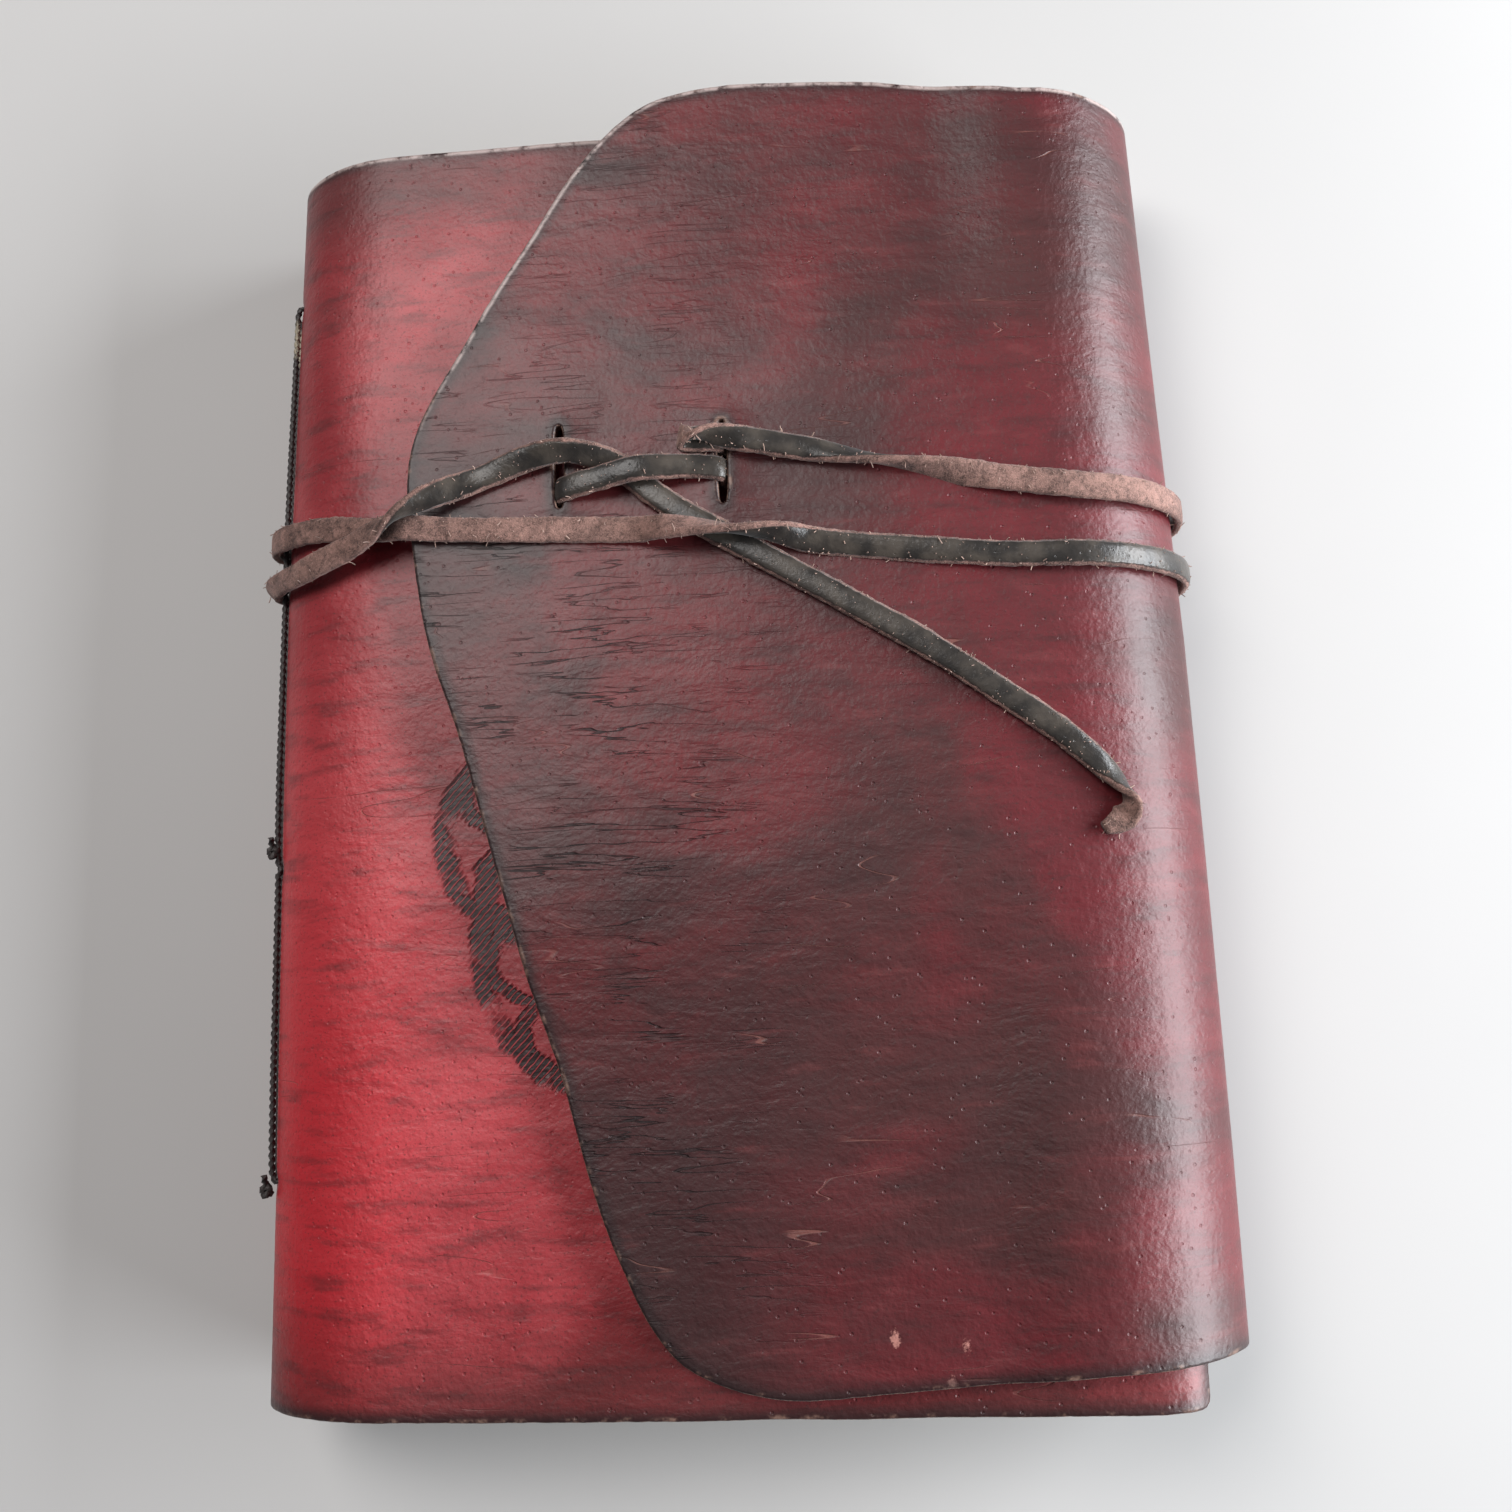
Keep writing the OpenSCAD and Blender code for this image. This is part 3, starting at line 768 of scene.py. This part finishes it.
near_spine = ramp(t, maths(t, "ABSOLUTE", minus(t, along, spine_mid * MM)), 0.034, 0.012)
smoked = maths(t, "MAXIMUM", times(t, ramp(t, headwards, 0.075, 0.102), 0.75),
               times(t, ramp(t, tailwards, -0.082, -0.108), 0.8))
crimson = blend(t, ramp(t, clouds, 0.38, 0.66), (0.25, 0.013, 0.019, 1), (0.45, 0.055, 0.064, 1))
crimson = overlaid(t, crimson, (ramp(t, blots, 0.52, 0.74), 0.60, (0.15, 0.022, 0.024, 1)),
                 (times(t, near_spine, tail_side), 0.8, (0.50, 0.011, 0.020, 1)),
                 (smoked, 1.0, (0.050, 0.014, 0.013, 1)))

bare_red = times(t, ramp(t, past_wall, 0.062, 0.0), ramp(t, clouds, 0.34, 0.56))
dark_cloud = times(t, ramp(t, blots, 0.40, 0.66), plus(t, 0.38, far_on_flap, 0.57))
corner_dark = times(t, ramp(t, past_wall, 0.018, 0.052),
                    ramp(t, plus(t, across, clouds, 0.05), 0.022, -0.035), 0.78)
oxblood = blend(t, ramp(t, clouds, 0.36, 0.62), (0.062, 0.015, 0.015, 1), (0.115, 0.014, 0.016, 1))
oxblood = overlaid(t, oxblood, (bare_red, 0.75, (0.120, 0.010, 0.015, 1)),
                 (maths(t, "MAXIMUM", dark_cloud, corner_dark), 1.0, (0.020, 0.009, 0.009, 1)))

# Cracks open across the flap where it is bent most, and scratches cross both.
crack_line = hairline(t, stretched(t, cut_place, 0.09, 1.0, -0.05), 400, 3, 0.55, 0.35)
crack_zone = times(t, ramp(t, past_wall, 0.030, 0.060), flapness,
                   ramp(t, speckle(t, cut_place, 75, 2), 0.44, 0.60),
                   ramp(t, across, 0.045, 0.015, 0.25, 1.0))
cracks = times(t, ramp(t, crack_line, 0.013, 0.003), crack_zone)
scratch_line = hairline(t, stretched(t, cut_place, 0.10, 1.0, 0.7, (0.5, 0.2, 0)), 260, 1, 0.4)
scratches = times(t, ramp(t, scratch_line, 0.005, 0.001),
                  ramp(t, speckle(t, cut_place, 60, 2, 0.5, 0.2), 0.56, 0.66))
chips = node(t, "ShaderNodeTexVoronoi",
             {"Vector": stretched(t, cut_place, 1, 0.6, 0.5), "Scale": 70.0}).outputs["Distance"]
chip = times(t, ramp(t, plus(t, chips, specks, 0.10), 0.100, 0.075), ramp(t, clouds, 0.53, 0.60))

# Edges are blackened and rubbed, and the pale core shows where they chafe.
burnish = ramp(t, plus(t, edge, blots, 0.0012), 0.0030, 0.0009)
chafed = times(t, ramp(t, edge, 0.00085, 0.0004),
               ramp(t, speckle(t, cut_place, 210, 4, 0.7), 0.50, 0.66))
head_edge = times(t, ramp(t, edge, 0.0010, 0.0005), ramp(t, headwards, 0.052, 0.072),
                  ramp(t, speckle(t, cut_place, 300, 4, 0.7), 0.36, 0.56))
colour = overlaid(t, blend(t, flapness, crimson, oxblood),
                (ramp(t, streaks, 0.48, 0.70), 0.45, (0.030, 0.010, 0.010, 1)),
                (ramp(t, streaks, 0.46, 0.25), 0.10, (0.42, 0.10, 0.10, 1)),
                (ramp(t, specks, 0.54, 0.70), 0.65, (0.045, 0.012, 0.012, 1)),
                (cracks, 0.85, (0.012, 0.006, 0.006, 1)),
                (scratches, 0.30, (0.36, 0.15, 0.12, 1)),
                (chip, 0.7, (0.50, 0.22, 0.18, 1)),
                (burnish, 0.88, (0.017, 0.008, 0.008, 1)),
                (chafed, 0.55, (0.34, 0.20, 0.15, 1)),
                (head_edge, 1.0, (0.42, 0.33, 0.31, 1)))
raw = blend(t, ramp(t, speckle(t, cut_place, 900, 4, 0.7), 0.40, 0.62),
            (0.030, 0.015, 0.013, 1), (0.24, 0.15, 0.115, 1))

skin = node(t, "ShaderNodeGroup", {"Place": cut_place, "Scale": 1250.0}, node_tree=grain)
creases = speckle(t, stretched(t, cut_place, 0.5, 1.0), 190, 4, 0.6, 0.5)
tall = plus(t, times(t, skin.outputs["Height"], 0.30), creases, 0.75)
tall = minus(t, minus(t, tall, cracks, 0.8), scratches, 0.25)
rough = plus(t, plus(t, 0.33, speckle(t, cut_place, 130, 3), 0.14), specks, 0.10)
rough = plus(t, rough, maths(t, "MAXIMUM", chip, cracks), 0.25)
give(t, Colour=blend(t, ramp(t, side, 0.85, 0.30), colour, raw), Roughness=rough, Height=tall,
     Skin=ramp(t, side, -0.2, 0.2))

# The press leaves a chain of hatched rings on the front cover, partly under
# the flap's edge. It is a plain maker's border.
press_mark, given = new_group("pressed_border", "Shader", {"Cut": "Vector"}, {"Ink": "Float"})
t = press_mark


def front_run(x):
    return run_at(x, 0, spine_index)


def vector_node(tree, operation, values):
    return node(tree, "ShaderNodeVectorMath", values, operation=operation)


fray = node(t, "ShaderNodeTexNoise", {"Vector": given["Cut"], "Scale": 420.0, "Detail": 3.0}).outputs[1]
fray = vector_node(t, "SUBTRACT", {0: fray, 1: (0.5, 0.5, 0.5)})
fray = vector_node(t, "SCALE", {0: fray, "Scale": 0.0026})
frayed = vector_node(t, "ADD", {0: given["Cut"], 1: fray})
rings = [(-25.5, -17, 12.0, 12.5, 2.4), (-27.5, -10, 7.2, 6.4, 1.9), (-26, -23, 6.4, 5.2, 1.8),
         (-22.5, -33, 8.6, 6.0, 1.8), (-20, -43, 6.4, 5.4, 1.8), (-16, -31, 16.5, 19, 2.3)]
inked = 0.0
for cx, cy, ra, rb, wide in rings:
    local = node(t, "ShaderNodeMapping", {
        "Vector": frayed, "Scale": (1000 / ra, 1000 / rb, 0),
        "Location": (-front_run(cx) / ra, -cy / rb, 0)})
    far = vector_node(t, "LENGTH", {0: local}).outputs["Value"]
    band = ramp(t, maths(t, "ABSOLUTE", minus(t, far, 1)), wide * 0.80 / ra, wide * 0.40 / ra)
    inked = maths(t, "MAXIMUM", inked, band)
hatch = node(t, "ShaderNodeTexWave", {
    "Vector": stretched(t, given["Cut"], 1, 1, -0.75), "Scale": 430.0, "Distortion": 1.6,
    "Detail": 2.0, "Detail Scale": 1.4}).outputs[1]
give(t, Ink=times(t, inked, ramp(t, plus(t, hatch, inked, 0.42), 0.50, 0.72),
                  ramp(t, speckle(t, given["Cut"], 160, 3), 0.30, 0.48)))


def hide_material(name, pressed=False):
    """The hide's two faces; the front cover's also has the pressed border."""
    material, t, shader = new_material(name, Coat_Weight=0.12, Coat_Roughness=0.24,
                                       Specular_IOR_Level=0.40, Sheen_Weight=0.0)
    flat_place = node(t, "ShaderNodeUVMap", uv_map="cut").outputs[0]
    dye = node(t, "ShaderNodeGroup", {
        "Cut": flat_place, "Edge": times(t, attribute(t, "from_edge"), MM),
        "Grain side": attribute(t, "grain_side")}, node_tree=hide_dye)
    nap = node(t, "ShaderNodeGroup", {"Place": flat_place, "Dark": (0.075, 0.030, 0.024, 1),
                                      "Pale": (0.22, 0.115, 0.085, 1)}, node_tree=suede)
    skin, top, height = (dye.outputs[n] for n in ("Skin", "Colour", "Height"))
    if pressed:
        ink = node(t, "ShaderNodeGroup", {"Cut": flat_place}, node_tree=press_mark).outputs["Ink"]
        top = overlaid(t, top, (ink, 0.96, (0.007, 0.004, 0.004, 1)))
        height = minus(t, height, ink, 0.7)
    # The spine is painted near-black at each thread hole's dimple: painted shade inside the holes, which
    # are not cut in the hide.
    top = overlaid(t, top, (attribute(t, "dimple"), 0.7, (0.03, 0.01, 0.01, 1)))
    t.links.new(blend(t, skin, nap.outputs["Colour"], top), shader.inputs["Base Color"])
    roughness = node(t, "ShaderNodeMix", {0: skin, 2: 0.92, 3: dye.outputs["Roughness"]})
    t.links.new(roughness.outputs[0], shader.inputs["Roughness"])
    relief = node(t, "ShaderNodeMix", {0: skin, 2: nap.outputs["Height"], 3: height})
    add_bump(t, shader, relief.outputs[0], 0.00045)
    return material


for piece, finish, slot in ((front_half, hide_material("front_leather", pressed=True), "front_leather"),
                            (back_half, hide_material("cover_leather"), "cover_leather"),
                            (flap_half, hide_material("flap_leather"), "flap_leather")):
    piece.data.materials.append(finish)
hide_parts("front_cover")
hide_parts("back_cover", "spine")
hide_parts("flap", "fore_edge")
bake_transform(front_half)
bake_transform(back_half)
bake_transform(flap_half)

# ---------------------------------------------------------------------------
# Paper: three signatures of thick, soft-edged handmade sheets, each folded
# once towards the spine, with two outer sheets round a thinner inner gathering.
paper, t, shader = new_material("paper", Roughness=0.88, Specular_IOR_Level=0.25)
place = own_place(t)
layered = node(t, "ShaderNodeMapping", {"Vector": place, "Scale": (1, 1, 6)}).outputs[0]
pulp = speckle(t, place, 1400, 4, 0.7)
tone = plus(t, times(t, speckle(t, layered, 300, 4, 0.6), 0.7), pulp, 0.3)
t.links.new(blend(t, ramp(t, tone, 0.35, 0.65), (0.54, 0.46, 0.34, 1), (0.70, 0.62, 0.49, 1)),
            shader.inputs["Base Color"])
add_bump(t, shader, pulp, 0.00006)

PAGE_X = 51.5
CREEP = 2.2  # how far an inner fold sits from its outer one
page_tail, page_head = tail_y + 3, head_y - 3
spine_x = spine_low[0]
block_mid = front_top / 2


def signature_line(order, x):
    """Middle height and half thickness of a signature at x."""
    share = eased((x - (spine_x + 2.7) - 1) / 17)
    return block_mid + 0.12 + order * mixed(3.4, 6.4, share), mixed(1.5, 3.1, share)


# Each gathering is one folded shell, repeated and nested, its edges torn by
# hand so that no two sheets end alike.
leaf_tree, given = new_group("gathered_sheets", "Geometry", {
    "Sheet": "Geometry", "Sheets": "Int", "Inner share": "Float", "Outer share": "Float",
    "Ragged": "Float", "Finish": "Material"}, {"Gathering": "Geometry"})
t = leaf_tree
stack = node(t, "GeometryNodeMeshLine", {"Count": given["Sheets"], "Offset": (0, 0, 0)})
copies = node(t, "GeometryNodeInstanceOnPoints", {"Points": stack, "Instance": given["Sheet"]})
numbered = node(t, "GeometryNodeStoreNamedAttribute", {
    "Geometry": copies, "Name": "order", "Value": node(t, "GeometryNodeInputIndex")},
    data_type="FLOAT", domain="INSTANCE")
real = node(t, "GeometryNodeRealizeInstances", {"Geometry": numbered})
nest = maths(t, "DIVIDE", plus(t, named(t, "order"), named(t, "face"), 0.78), given["Sheets"])
nest = node(t, "ShaderNodeMapRange", {
    0: nest, 1: 0.0, 2: 1.0, 3: given["Inner share"], 4: given["Outer share"]}).outputs[0]
here = node(t, "GeometryNodeInputPosition")
tear_place = node(t, "ShaderNodeVectorMath", {
    0: here, 1: node(t, "ShaderNodeCombineXYZ", {2: times(t, named(t, "order"), 0.37)})},
    operation="ADD")
tear = times(t, minus(t, speckle(t, tear_place, 90.0, 3.0, 0.7), 0.75), given["Ragged"])
creep = times(t, minus(t, 1.0, nest), named(t, "creep"))
at_xyz = node(t, "ShaderNodeSeparateXYZ", {0: here}).outputs
moved = node(t, "GeometryNodeSetPosition", {"Geometry": real, "Position": node(
    t, "ShaderNodeCombineXYZ", {
        0: plus(t, plus(t, at_xyz[0], times(t, tear, named(t, "fore")), 2.4), creep),
        1: plus(t, at_xyz[1], times(t, tear, named(t, "end")), 1.6),
        2: plus(t, named(t, "mid"), named(t, "half"), nest)})})
give(t, Gathering=finished(t, moved, given["Finish"]))


def one_sheet(order, fold_x):
    """A folded sheet as a thin closed shell, with how to nest it stored on it."""
    xs = np.concatenate([[PAGE_X, PAGE_X - 1.0, PAGE_X - 3, 40, 20, 0, -20, -36],
                         np.linspace(-42, fold_x + 2, 9), [fold_x + 1.2, fold_x + 0.6, fold_x + 0.2]])
    tips = np.clip(np.sqrt(np.maximum(0, 1 - ((fold_x + 1.6 - xs) / 1.6) ** 2)), 0, 1)
    tips = np.where(xs > fold_x + 1.6, 1, tips)
    line = [(x, 1, tip) for x, tip in zip(xs, tips)] + [(fold_x, 0, 0)]
    line += [(x, -1, tip) for x, tip in zip(xs[::-1], tips[::-1])]
    line = [(x, s, tip, face) for face in (1, 0) for x, s, tip in (line if face else line[::-1])]
    ys = np.concatenate([[page_tail, page_tail + 0.5], np.linspace(page_tail + 3, page_head - 3, 22),
                         [page_head - 0.5, page_head]])
    points, values = [], []
    for y in ys:
        for x, s, tip, f in line:
            m, h = signature_line(order, x)
            points.append((x * MM, y * MM, m * MM))
            fore = np.clip((x - PAGE_X + 1.5) / 1.5, 0, 1)
            end = math.copysign(min(abs(y - page_tail), abs(y - page_head)) < 1, y)
            creep = CREEP * MM * (1 - eased((x - fold_x) / 6))
            values.append((m * MM, h * s * tip * MM, f, fore, end, creep))
    m = len(line)
    faces = [[r * m + c, r * m + (c + 1) % m, (r + 1) * m + (c + 1) % m, (r + 1) * m + c]
             for r in range(len(ys) - 1) for c in range(m)]
    for r, flip in ((0, -1), (len(ys) - 1, 1)):
        faces += [[r * m + c, r * m + c + 1, r * m + m - 2 - c, r * m + m - 1 - c][::flip]
                  for c in range(m // 2 - 1)]
    sheet_piece = add_piece("one_sheet", points, faces)
    for label, column in zip(("mid", "half", "face", "fore", "end", "creep"), zip(*values)):
        add_values(sheet_piece, label, column)
    return sheet_piece


for order, where in ((1, "front"), (0, "middle"), (-1, "rear")):
    fold_x = spine_x + 2.7 + 2.2 * abs(order)
    for part, sheets, inner, outer_share, inset in (("wrapper", 4, 0.56, 1.0, 0),
                                                    ("pages", 5, 0.05, 0.55, 0.7)):
        pattern = one_sheet(order, fold_x + inset)
        gathering = grown(pattern, leaf_tree, where + "_" + part, Sheets=sheets, Ragged=0.0012,
                          Finish=paper, **{"Inner share": inner, "Outer share": outer_share})
        bpy.data.objects.remove(pattern)
        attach(gathering, "block")
        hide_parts(where + "_signature_" + part)

# ---------------------------------------------------------------------------
# Sewing: one waxed three-ply thread for each signature, in long stitches down
# the outside of the spine and back along the fold, knotted at two stations.
THREAD_D = 1.0
ply_tree, given = new_group("twisted_thread", "Geometry", {
    "Path": "Geometry", "Radius": "Float", "Twist per metre": "Float", "Step": "Float",
    "Finish": "Material"}, {"Thread": "Geometry"})
t = ply_tree
line = node(t, "GeometryNodeMeshToCurve", {"Mesh": given["Path"]})
line = node(t, "GeometryNodeResampleCurve", {"Curve": line, "Length": given["Step"]}, mode="LENGTH")
walked = node(t, "GeometryNodeSplineParameter").outputs["Length"]
twisted = node(t, "GeometryNodeSetCurveTilt", {
    "Curve": line, "Tilt": times(t, walked, given["Twist per metre"])})
plies = node(t, "GeometryNodeCurveStar", {
    "Points": 3, "Outer Radius": given["Radius"], "Inner Radius": times(t, given["Radius"], 0.62)})
strand = node(t, "GeometryNodeCurveToMesh",
              {"Curve": twisted, "Profile Curve": plies, "Fill Caps": True})
smooth_strand = node(t, "GeometryNodeSetShadeSmooth", {"Geometry": strand})
give(t, Thread=finished(t, smooth_strand, given["Finish"]))

waxed, t, shader = new_material("waxed_thread", Roughness=0.5, Sheen_Weight=0.15, Specular_IOR_Level=0.4)
place = own_place(t)
strands = speckle(t, stretched(t, place, 1, 0.4), 3200, 3, 0.7)
thread_y = node(t, "ShaderNodeSeparateXYZ", {0: place}).outputs[1]
# A pale band across all three threads, from 58.5 to 65.5 mm towards the head, is a painted highlight: the
# glint on the waxed thread.
painted_glint_band = times(t, ramp(t, thread_y, 0.0585, 0.0600), ramp(t, thread_y, 0.0655, 0.0640),
              ramp(t, strands, 0.3, 0.6))
thread_colour = blend(t, strands, (0.010, 0.008, 0.008, 1), (0.060, 0.045, 0.042, 1))
t.links.new(blend(t, painted_glint_band, thread_colour, (0.42, 0.36, 0.26, 1)), shader.inputs["Base Color"])
add_bump(t, shader, strands, 0.0001)


def spun(name, rows, closed=False):
    """A thread along a line of points, in millimetres."""
    links = [(i, i + 1) for i in range(len(rows) - 1)] + ([(len(rows) - 1, 0)] if closed else [])
    mesh = bpy.data.meshes.new(name)
    mesh.from_pydata([((x + taper(x, y)) * MM, y * MM, z * MM) for x, y, z in rows], links, [])
    guide = bpy.data.objects.new(name, mesh)
    scene.collection.objects.link(guide)
    thread = grown(guide, ply_tree, name + "_spun", Radius=THREAD_D / 2 * MM, Step=0.0004,
                   Finish=waxed, **{"Twist per metre": 1900.0})
    bpy.data.objects.remove(guide)
    return thread


for order, where in ((1, "front"), (0, "middle"), (-1, "rear")):
    node_low, node_high = (np.array(c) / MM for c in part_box(where + "_thread"))
    out_x, in_x = node_low[0] + THREAD_D / 2, node_high[0] - THREAD_D / 2
    thread_z = columns[order + 1]
    outside = []
    for a, b in zip(stations, stations[1:]):
        outside += [(out_x + 0.5, a, thread_z), (out_x + 0.05, a + 0.9, thread_z)]
        outside += [(out_x - 0.05 * math.sin(math.pi * s), mixed(a + 0.9, b - 0.9, s),
                     thread_z + 0.18 * math.sin(4 * s + order)) for s in np.linspace(0.04, 0.96, 14)]
        outside += [(out_x + 0.05, b - 0.9, thread_z), (out_x + 0.5, b, thread_z)]
    loop = [(in_x, stations[0], thread_z), *outside, (in_x, stations[-1], thread_z)]
    loop += [(in_x, y, thread_z) for y in np.linspace(stations[-1] - 2, stations[0] + 2, 16)]
    thread = spun(where + "_stitches", loop, closed=True)
    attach(thread, "block")
    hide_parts(where + "_thread")

for knot_name in ("thread_knot_middle", "thread_knot_tail"):
    node_low, node_high = (np.array(c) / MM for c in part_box(knot_name))
    centre = (node_low + node_high) / 2
    turns = []
    for i in range(64):
        a, b = i / 64 * 4 * math.pi, i / 64 * 6 * math.pi
        reach = 0.48 + 0.22 * math.cos(b)
        turns.append((centre[0] + reach * math.cos(a) * 0.9, centre[1] + reach * math.sin(a) * 1.1,
                      centre[2] + 0.30 * math.sin(b)))
    ends = [tuple(centre + offset) for offset in ((-0.1, 2.0, 0.8), (-0.2, 1.3, 0.3), (0.1, 0.5, 0))]
    knot = spun(knot_name.replace("thread_", "") + "_turns", ends + turns)
    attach(knot, "block")
    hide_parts(knot_name)

# ---------------------------------------------------------------------------
# Floor and light: a plain pale sheet, a big soft key from the upper left and
# a window-like panel to the right, whose band lies along the fore-edge.
floor_mesh = add_piece("floor", [(x, y, -0.0002) for x, y in ((-3, -3), (3, -3), (3, 3), (-3, 3))],
                       [[0, 1, 2, 3]], smooth=False)
pale_floor, t, shader = new_material("pale_floor", Roughness=0.85)
place = own_place(t)
t.links.new(blend(t, speckle(t, place, 14, 3), (0.50, 0.49, 0.48, 1), (0.53, 0.52, 0.51, 1)),
            shader.inputs["Base Color"])
floor_mesh.data.materials.append(pale_floor)

world = bpy.data.worlds.new("studio")
world.use_nodes = True
sky = world.node_tree.nodes["Background"].inputs
sky["Color"].default_value, sky["Strength"].default_value = (0.86, 0.90, 1.0, 1), 0.13
scene.world = world


def add_light(name, place, target, size, power, tint):
    light = bpy.data.lights.new(name, "AREA")
    light.shape, light.size, light.size_y = "RECTANGLE", size[0], size[1]
    light.energy, light.color = power, tint
    lamp = bpy.data.objects.new(name, light)
    lamp.location = place
    lamp.rotation_euler = (Vector(target) - Vector(place)).to_track_quat("-Z", "Y").to_euler()
    scene.collection.objects.link(lamp)


add_light("key", (-0.32, 0.36, 0.72), (0, 0, 0.02), (0.50, 0.50), 5.6, (1.0, 0.97, 0.95))
add_light("window", (0.55, -0.04, 0.20), (0.06, -0.04, 0.02), (0.80, 0.22), 10.5, (0.92, 0.96, 1.0))
scene.view_settings.view_transform = "Standard"
